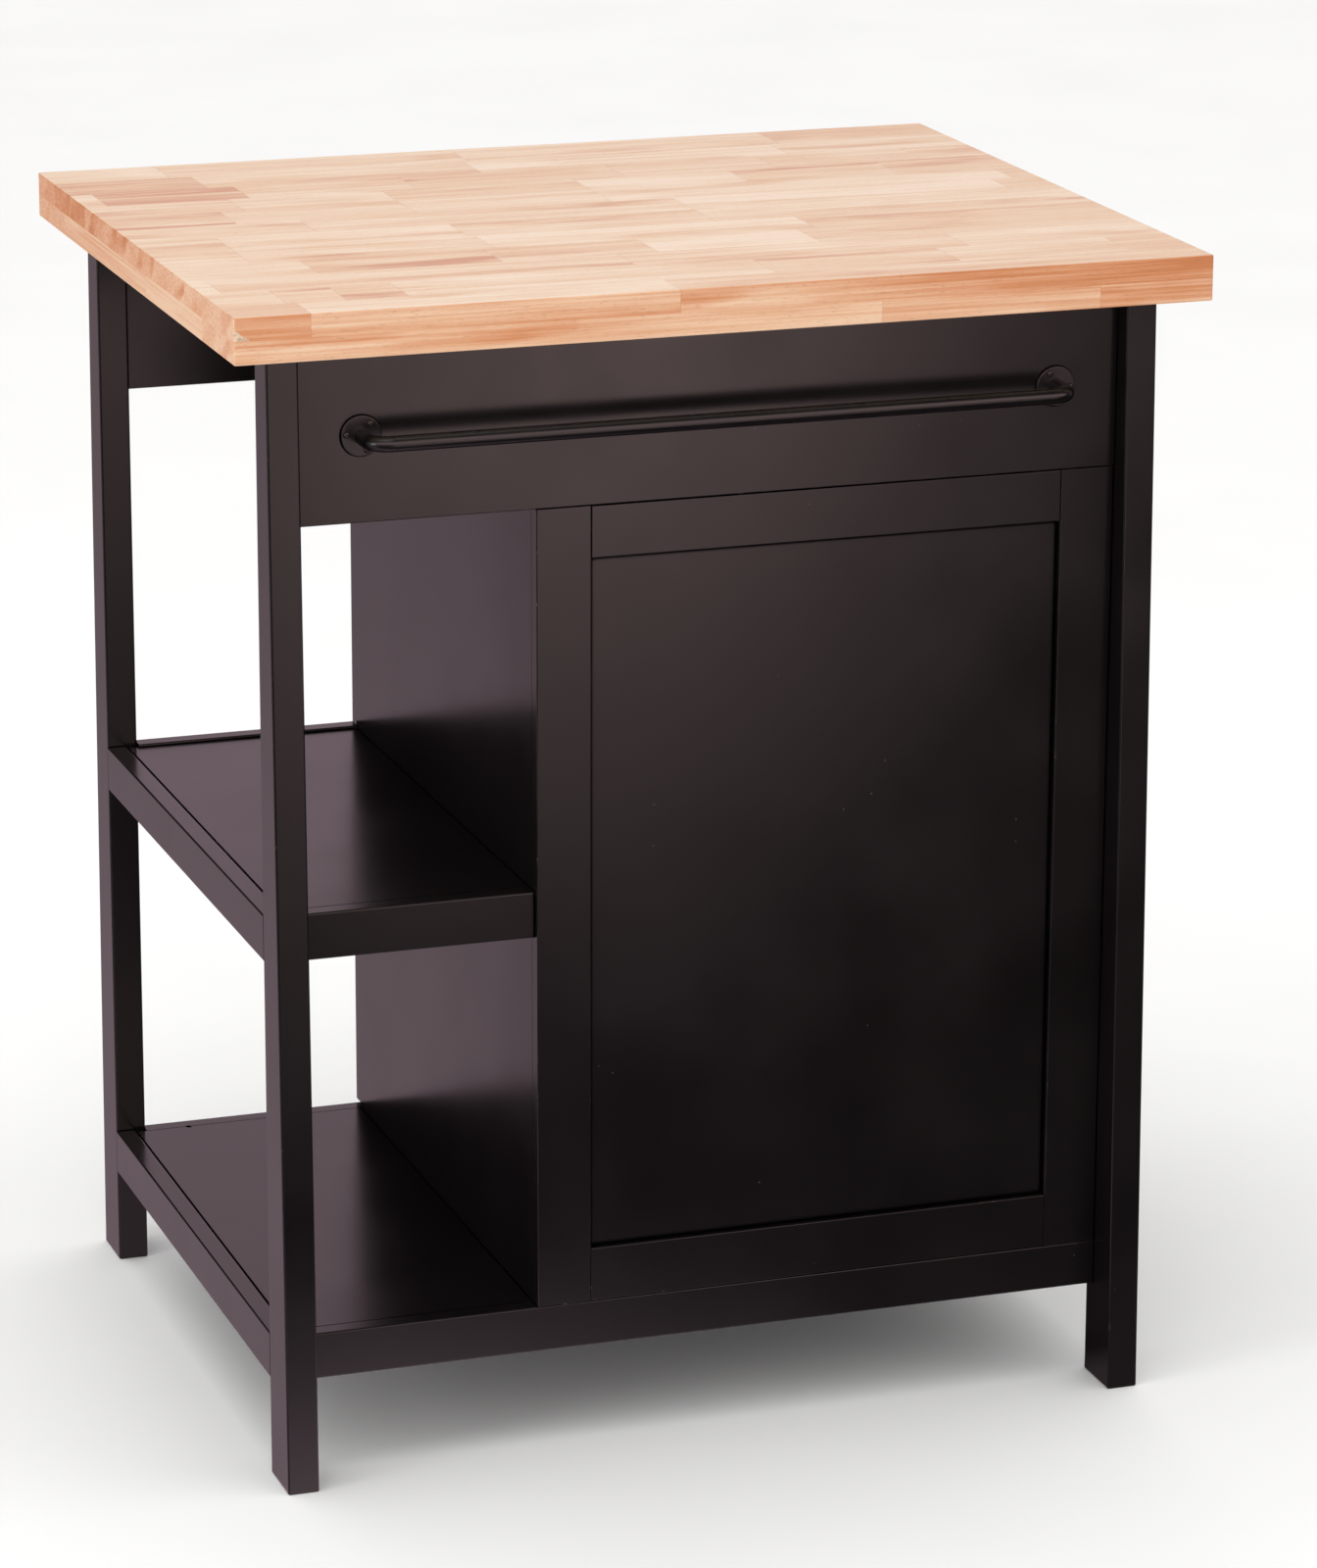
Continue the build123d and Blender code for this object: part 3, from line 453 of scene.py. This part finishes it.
# The rows from the front edge to the back edge.
stave_board(
    "stave_top", "top_board", [(0, -1), (0, 1), (1, -1), (1, 1)], 1, 0, [
        (38.5, 0.25, [(57, 0.7, 1.0), (280, 0.2, 0.2), (0, 0.5, (0.3, 1.05))]),
        plain_row(51, 0.22, (50, 0.4), (45, 0.5), (47, 0.75), (283, 0.15), (147, 0.55), (138, 0.25),
                  (0, 0.7)),
        plain_row(51, 0.22, (15, 0.15), (320, 0.35), (265, 0.45), (0, 0.2)),
        plain_row(51, 0.35, (102, 0.3), (143, 0.75), (123, 0.5), (130, 0.0), (0, 0.4)),
        plain_row(51, 0.45, (65, 0.35), (190, 0.35), (260, 0.03), (0, 0.45)),
        plain_row(51, 0.5, (65, 0.5), (185, 0.2), (200, 0.45), (0, 0.3)),
        plain_row(51, 0.6, (145, 0.25), (305, 0.35), (270, 0.0), (0, 0.5)),
        plain_row(51, 0.6, (95, 0.65), (145, 0.4), (160, 0.2), (340, 0.15), (0, 0.55)),
        plain_row(51, 0.7, (115, 0.45), (125, 0.4), (160, 0.5), (132, 0.15), (128, 0.5), (0, 0.65)),
        plain_row(51, 0.95, (18, 0.2), (115, 0.9), (137, 0.42), (175, 0.6), (130, 0.4), (127, 0.5),
                  (0, 0.45)),
        plain_row(51, 0.95, (112, 0.95), (228, 0.45), (265, 0.25), (0, 0.15)),
        (57.5, 0.6, [(95, 0.4, 0.4), (250, 0.35, 0.3), (270, 0.3, 0.5), (0, 0.7, 0.7)])], staves_x)

# The layer under the edges of the board.
stave_board(
    "stave_edge_front", "top_edge_front", [(0, -1), (0, 1), (1, -1)], -1, 0, [
        (45, 0.15, [(495, 0.3, (0.3, 0.15)), (175, 0.4, 0.45), (0, 0.5, 0.3)]),
        plain_row(45, 0.2, (310, 0.4), (280, 0.2), (0, 0.5))], staves_x)
stave_board(
    "stave_edge_back", "top_edge_back", [(0, -1), (0, 1), (1, 1)], -1, 0, [
        plain_row(45, 0.45, (150, 0.5), (330, 0.3), (0, 0.6)),
        (45, 0.4, [(240, 0.4, 0.3), (290, 0.3, 0.5), (0, 0.2, 0.2)])], staves_x)
stave_board(
    "stave_edge_left", "top_edge_left", [(0, -1)], -1, 1, [
        (45, 0.3, [(166, 0.3, 0.0), (0, 0.35, (0.1, 0.5))]),
        plain_row(45, 0.3, (240, 0.5), (0, 0.2))], staves_y)
stave_board(
    "stave_edge_right", "top_edge_right", [(0, 1)], -1, 1, [
        plain_row(45, 0.3, (150, 0.3), (0, 0.5)),
        (45, 0.3, [(230, 0.3, 0.25), (0, 0.5, 0.5)])], staves_y)

shelf_low, shelf_high = [Vector(corner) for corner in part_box("bottom_shelf")]
shelf_dent = Vector((shelf_low.x + 43.3 * MM, shelf_high.y, shelf_high.z))
lacquer = {
    "x": black_lacquer("satin_black_lacquer_grain_x", (14.0, 700.0, 700.0)),
    "y": black_lacquer("satin_black_lacquer_grain_y", (700.0, 14.0, 700.0)),
    "z": black_lacquer("satin_black_lacquer_grain_z", (700.0, 700.0, 14.0)),
}
# The painted seam shade reaches further into the corners round a panel set back in its frame.
set_back = black_lacquer("satin_black_lacquer_set_back_panel_wide_shade", (700.0, 700.0, 14.0), 4.0 * MM)
finishes = {
    "butcher_block": staves_x,
    "bare_wood": bare_wood("bare_planed_wood"),
    "black_steel": black_steel("semi_gloss_black_steel"),
    "zinc_steel": zinc_steel("bright_zinc_plated_steel"),
    "catch_plastic": catch_plastic("matt_off_white_plastic"),
}
slot_of = {part["node"]: part["material_slot"] for part in frame["record"]["subparts"]}
for name in frame["nodes"]:
    low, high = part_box(name)
    sides = [high[i] - low[i] for i in range(3)]
    grain = "xyz"[sides.index(max(sides))]
    plain = set_back if name.endswith("_field") else lacquer[grain]
    dress(name, finishes.get(slot_of[name], plain))


# ---- Floor, light and camera ----
# The lacquer's reflections are a little pink behind the table, and a little warm in front of it.
REFLECTED_WALL = (1.34, 1.0, 1.14, 1.0)
REFLECTED_FRONT = (1.38, 1.0, 0.98, 1.0)
WHITE = (1.0, 1.0, 1.0, 1.0)
CAMERA_PLACE = (-1.43674, -4.29064, 1.76912)
CAMERA_RIGHT, CAMERA_DOWN, CAMERA_ROLL = 19.051, 16.242, 0.23   # degrees
CAMERA_LENS = 135.16   # millimetres


def make_floor():
    """A plain pale studio floor, large enough to fill the view. In reflections alone it glows, a
    painted reflection as bright or dark as the real floor of a studio is: pale near the table and
    far in front of it, with a dark strip between, and dark to the front right; under the table it
    is painted dark, a painted shadow of the table."""
    mesh = bpy.data.meshes.new("studio_floor")
    shape = bmesh.new()
    bmesh.ops.create_grid(shape, x_segments=1, y_segments=1, size=20.0)
    shape.to_mesh(mesh)
    shape.free()
    floor = bpy.data.objects.new("studio_floor", mesh)
    bpy.context.scene.collection.objects.link(floor)
    material, tree = new_material("pale_studio_floor")
    place = add(tree, "TexCoord").outputs["Object"]
    tone = ramp(tree, noise(tree, place, 3.0), [(0.3, "fbfbfa"), (0.7, "fefefd")])
    paper = add(tree, "BsdfPrincipled", {"Base Color": tone, "Roughness": 0.8, "IOR": 1.45})
    x, y, _ = add(tree, "SeparateXYZ", {0: place}).outputs
    ahead = maths(tree, "MULTIPLY", y, -1.0)
    far_bright = maths(
        tree, "ADD", spread(tree, ahead, 1.15, 2.8, 0.0, 1.1), spread(tree, ahead, 2.8, 4.1, 0.0, 1.2))
    # The far pale part lies between two lines that run out to the front right.
    right_line = maths(tree, "MULTIPLY_ADD", y, 0.44, maths(tree, "ADD", x, 0.06))
    left_line = maths(tree, "MULTIPLY_ADD", y, 0.286, maths(tree, "ADD", x, 0.475))
    far_zone = maths(
        tree, "MULTIPLY", spread(tree, right_line, -0.24, -0.02, 1.0, 0.0),
        spread(tree, left_line, -0.35, 0.35))
    far_part = maths(tree, "MULTIPLY", far_bright, far_zone)
    near_part = maths(
        tree, "MULTIPLY", spread(tree, ahead, 0.3, 0.7, 1.0, 0.03),
        spread(tree, x, -0.2, 0.2, 0.95, 0.1))
    front = maths(tree, "ADD", far_part, near_part)
    # Left of the legs, the floor stays as it is behind the table until well in front of it.
    turn = maths(tree, "SUBTRACT", ahead, spread(tree, x, -0.35, -0.36, 0.0, 0.6))
    # Under the table the reflected floor is painted dark: a painted shadow of the table.
    open_floor = maths(tree, "MAXIMUM", spread(tree, x, 0.0, -0.25, 0.06), spread(tree, y, 0.2, 0.35))
    behind = maths(
        tree, "MULTIPLY", maths(tree, "MULTIPLY", open_floor, spread(tree, turn, 0.25, 0.15)),
        spread(tree, y, 1.2, 2.6, 0.35, 0.29))
    level = maths(tree, "ADD", maths(tree, "MULTIPLY", front, spread(tree, turn, 0.2, 0.25)), behind)
    tint = blend(tree, spread(tree, ahead, 1.0, 2.5), REFLECTED_WALL, REFLECTED_FRONT)
    glow = add(tree, "Emission", {0: tint, 1: level})
    seen = add(tree, "LightPath").outputs["Is Glossy Ray"]
    both = add(tree, "MixShader", {0: seen, 1: paper.outputs[0], 2: glow.outputs[0]})
    add(tree, "OutputMaterial", {0: both.outputs[0]})
    material.cycles.emission_sampling = "NONE"
    mesh.materials.append(material)


def make_light(name, place, aim, width, height, power):
    """A soft rectangular studio light, out of sight of every camera."""
    data = bpy.data.lights.new(name, "AREA")
    data.shape = "RECTANGLE"
    data.size = width
    data.size_y = height
    data.energy = power
    light = bpy.data.objects.new(name, data)
    bpy.context.scene.collection.objects.link(light)
    light.visible_camera = False
    light.location = place
    light.rotation_euler = (Vector(aim) - Vector(place)).to_track_quat("-Z", "Y").to_euler()


def make_world():
    """A white surrounding. In reflections it is a grey wall behind on the right, a pale wall low in
    front, and dark elsewhere."""
    world = bpy.data.worlds.new("studio")
    world.use_nodes = True
    tree = world.node_tree
    tree.nodes.clear()
    way = add(tree, "TexCoord").outputs["Generated"]
    right, back, up = add(tree, "SeparateXYZ", {0: way}).outputs
    wall = maths(tree, "MULTIPLY", spread(tree, right, -0.12, 0.12), spread(tree, back, -0.1, 0.3))
    low_band = maths(tree, "MULTIPLY", spread(tree, up, 0.02, 0.1), spread(tree, up, 0.65, 0.45))
    front_wall = maths(tree, "MULTIPLY", low_band, spread(tree, back, -0.3, -0.6, 0.0, 1.3))
    both_walls = maths(tree, "MULTIPLY_ADD", wall, 0.48, front_wall)
    level = maths(tree, "ADD", both_walls, 0.008)
    path = add(tree, "LightPath").outputs
    strength = add(tree, "Mix", {0: path["Is Glossy Ray"], 2: 1.0, 3: level}).outputs[0]
    tint = blend(tree, spread(tree, back, 0.0, -0.3), REFLECTED_WALL, REFLECTED_FRONT)
    colour = blend(tree, path["Is Glossy Ray"], WHITE, tint)
    sky = add(tree, "Background", {0: colour, 1: strength})
    add(tree, "OutputWorld", {0: sky.outputs[0]})
    world.cycles.sampling_method = "NONE"
    bpy.context.scene.world = world


def make_camera():
    """A long lens, standing to the front left and looking a little down."""
    data = bpy.data.cameras.new("camera")
    data.sensor_width = 36.0
    data.lens = CAMERA_LENS
    data.clip_end = 100.0
    camera = bpy.data.objects.new("camera", data)
    bpy.context.scene.collection.objects.link(camera)
    turn = Matrix.Rotation(math.radians(-CAMERA_RIGHT), 4, "Z")
    tilt = Matrix.Rotation(math.radians(90 - CAMERA_DOWN), 4, "X")
    roll = Matrix.Rotation(math.radians(CAMERA_ROLL), 4, "Z")
    camera.matrix_world = Matrix.Translation(CAMERA_PLACE) @ turn @ tilt @ roll
    bpy.context.scene.camera = camera


make_floor()
make_world()
make_light("top_light", (-0.6, -0.6, 3.3), (0, 0, 0.9), 2.5, 2.5, 22)
make_light("left_light", (-3.3, -1.2, 0.95), (-0.38, -0.25, 0.85), 0.9, 1.2, 15)
make_camera()
bpy.context.scene.view_settings.view_transform = "Standard"
